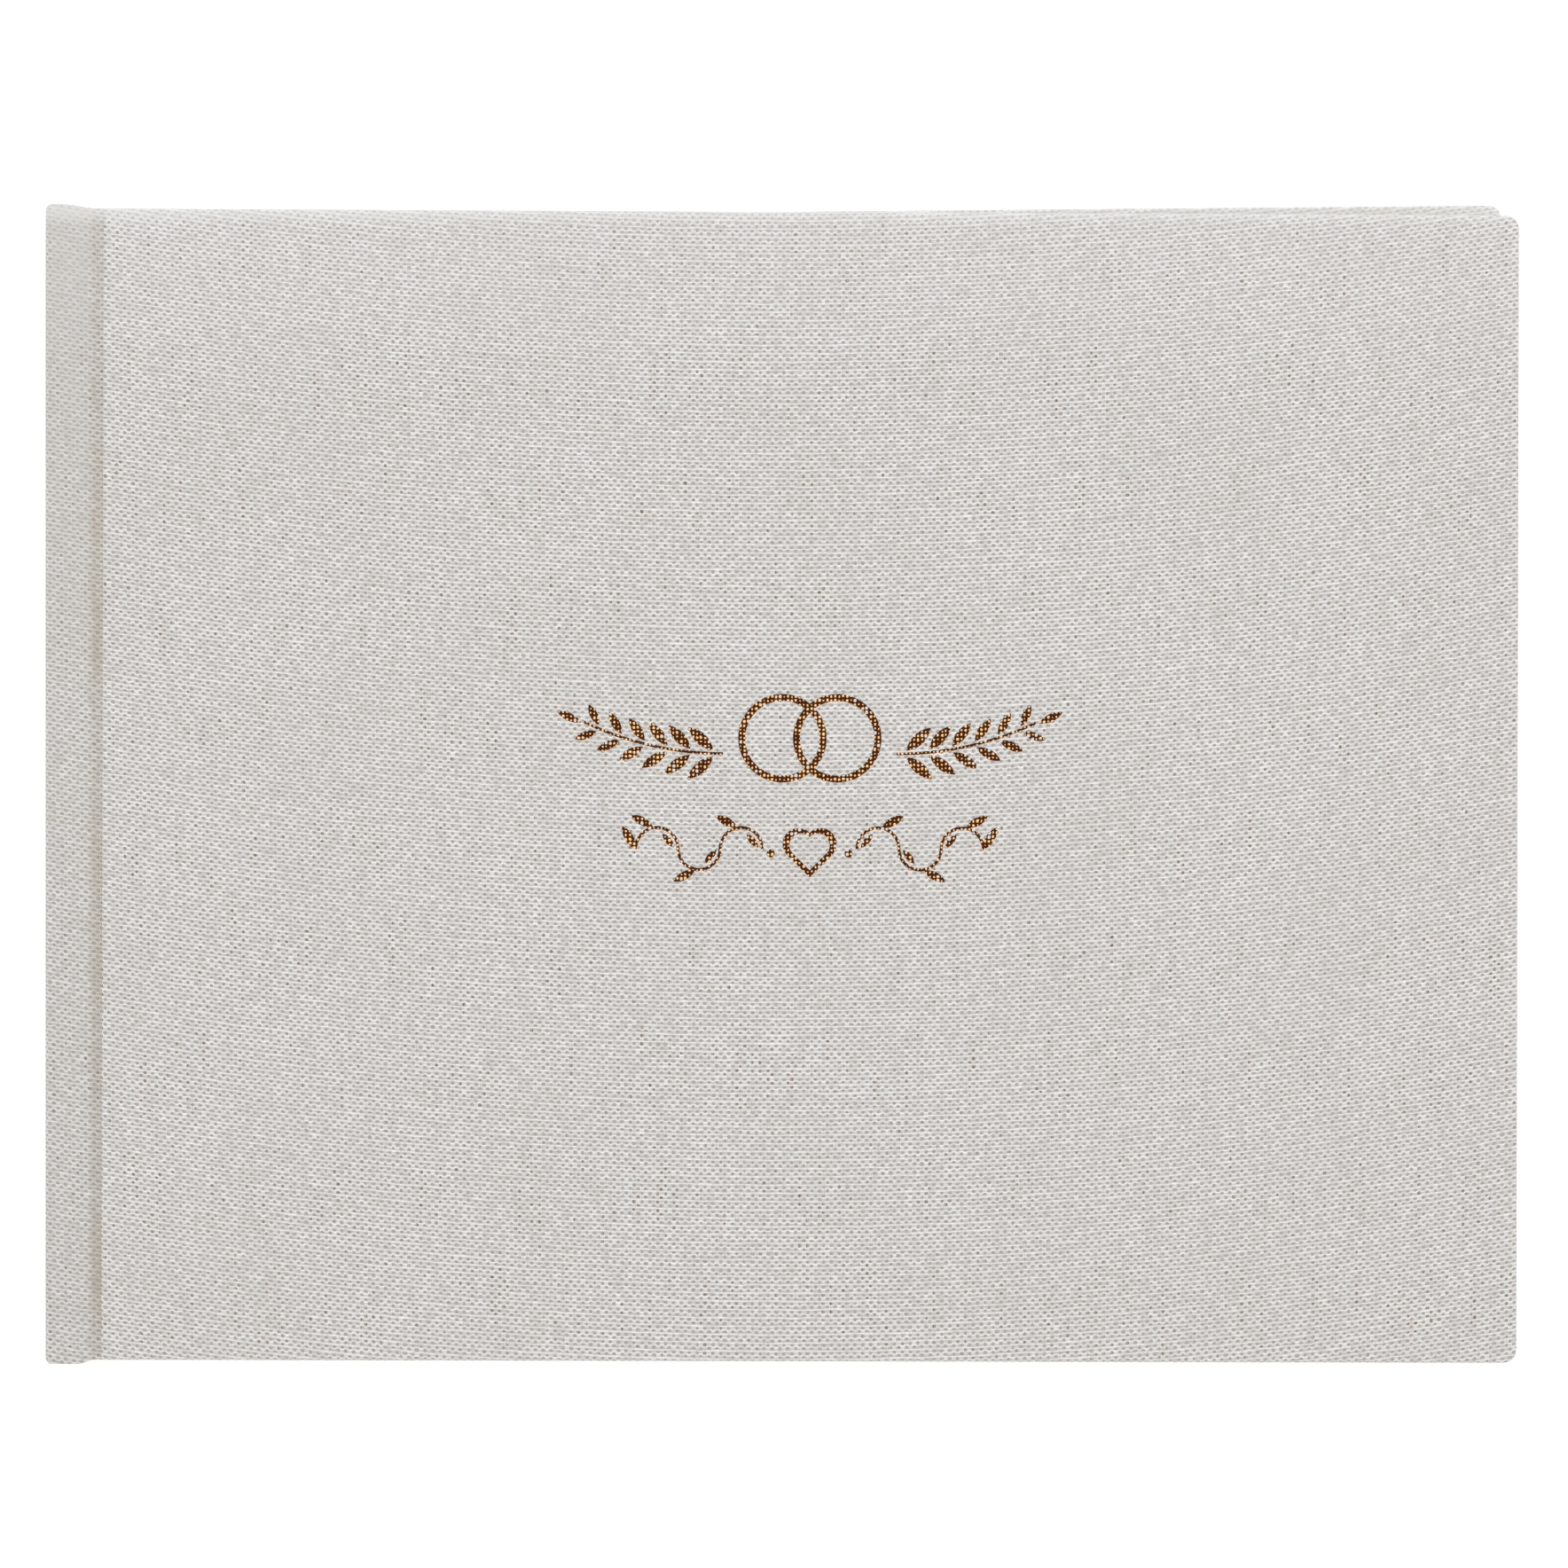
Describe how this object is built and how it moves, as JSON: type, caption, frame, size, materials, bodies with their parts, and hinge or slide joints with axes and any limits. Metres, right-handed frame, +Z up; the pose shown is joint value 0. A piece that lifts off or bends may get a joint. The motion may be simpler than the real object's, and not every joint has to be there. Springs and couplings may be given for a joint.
{
  "type": "guest book",
  "caption": "Landscape case-bound book with square linen-covered boards, grooved joints, flat spine and foil-stamped front; covers and first leaves open.",
  "frame": {"origin": "in the middle of the closed book, halfway up its spine and halfway from spine to fore-edge, on the surface that it lies on", "axes": "+X from the spine to the fore-edge, +Y towards the head, +Z up, out of the front cover"},
  "size_m": [0.281, 0.222, 0.0229],
  "materials": {
    "pages": "uncoated off-white book paper",
    "endpaper": "uncoated ivory endpaper",
    "book_cloth": "natural linen book cloth, plain weave, matt",
    "greyboard": "pressed grey binder's board",
    "kraft": "brown kraft paper",
    "mull": "open-weave starched cotton",
    "tape": "woven linen tape",
    "thread": "waxed linen thread",
    "headband": "striped cotton",
    "foil": "stamped copper foil broken by the weave"
  },
  "bodies": {
    "text_block": {"section_1": "pages", "section_2": "pages", "section_3": "pages", "section_4": "pages", "section_5": "pages", "section_6": "pages", "section_7": "pages", "sewing_thread": "thread", "sewing_tapes": "tape", "spine_mull": "mull", "spine_lining": "kraft", "head_band": "headband", "tail_band": "headband", "spine_board": "greyboard", "spine_cloth": "book_cloth", "back_flyleaf": "endpaper"},
    "front_cover": {"front_board": "greyboard", "front_cloth": "book_cloth", "front_pastedown": "endpaper", "foil_ornament": "foil", "front_joint_cloth": "book_cloth", "front_joint_lining": "endpaper"},
    "back_cover": {"back_board": "greyboard", "back_cloth": "book_cloth", "back_pastedown": "endpaper", "back_joint_cloth": "book_cloth", "back_joint_lining": "endpaper"},
    "turning_flyleaf": {"front_flyleaf": "endpaper"},
    "turning_leaf_1": {"leaf_1": "pages"},
    "turning_leaf_2": {"leaf_2": "pages"},
    "turning_leaf_3": {"leaf_3": "pages"},
    "turning_leaf_4": {"leaf_4": "pages"},
    "turning_leaf_5": {"leaf_5": "pages"},
    "turning_leaf_6": {"leaf_6": "pages"}
  },
  "joints": [
    {"name": "front_cover_hinge", "type": "hinge", "parent": "text_block", "child": "front_cover", "pos_m": [-0.13626, 0, 0.01922], "axis": [0, -1, 0], "range_deg": [0, 178], "deforming": ["front_joint_cloth", "front_joint_lining"]},
    {"name": "back_cover_hinge", "type": "hinge", "parent": "text_block", "child": "back_cover", "pos_m": [-0.13626, 0, 0.0036], "axis": [0, 1, 0], "range_deg": [0, 178], "deforming": ["back_joint_cloth", "back_joint_lining"]},
    {"name": "front_flyleaf_turn", "type": "hinge", "parent": "text_block", "child": "turning_flyleaf", "pos_m": [-0.13626, 0, 0.01922], "axis": [0, -1, 0], "range_deg": [0, 173.7], "deforming": ["front_flyleaf"]},
    {"name": "leaf_1_turn", "type": "hinge", "parent": "text_block", "child": "turning_leaf_1", "pos_m": [-0.13626, 0, 0.01922], "axis": [0, -1, 0], "range_deg": [0, 170.2], "deforming": ["leaf_1"]},
    {"name": "leaf_2_turn", "type": "hinge", "parent": "text_block", "child": "turning_leaf_2", "pos_m": [-0.13626, 0, 0.01922], "axis": [0, -1, 0], "range_deg": [0, 165.7], "deforming": ["leaf_2"]},
    {"name": "leaf_3_turn", "type": "hinge", "parent": "text_block", "child": "turning_leaf_3", "pos_m": [-0.13626, 0, 0.01922], "axis": [0, -1, 0], "range_deg": [0, 160.4], "deforming": ["leaf_3"]},
    {"name": "leaf_4_turn", "type": "hinge", "parent": "text_block", "child": "turning_leaf_4", "pos_m": [-0.13626, 0, 0.01922], "axis": [0, -1, 0], "range_deg": [0, 18]},
    {"name": "leaf_5_turn", "type": "hinge", "parent": "text_block", "child": "turning_leaf_5", "pos_m": [-0.13626, 0, 0.01922], "axis": [0, -1, 0], "range_deg": [0, 10]},
    {"name": "leaf_6_turn", "type": "hinge", "parent": "text_block", "child": "turning_leaf_6", "pos_m": [-0.13626, 0, 0.01922], "axis": [0, -1, 0], "range_deg": [0, 3.8]}
  ],
  "couplings": [
    {"joint": "front_flyleaf_turn", "follows": "front_cover_hinge", "ratio": 0.975},
    {"joint": "leaf_1_turn", "follows": "front_cover_hinge", "ratio": 0.955},
    {"joint": "leaf_2_turn", "follows": "front_cover_hinge", "ratio": 0.93},
    {"joint": "leaf_3_turn", "follows": "front_cover_hinge", "ratio": 0.9},
    {"joint": "leaf_4_turn", "follows": "front_cover_hinge", "ratio": 0.1},
    {"joint": "leaf_5_turn", "follows": "front_cover_hinge", "ratio": 0.055},
    {"joint": "leaf_6_turn", "follows": "front_cover_hinge", "ratio": 0.02}
  ]
}
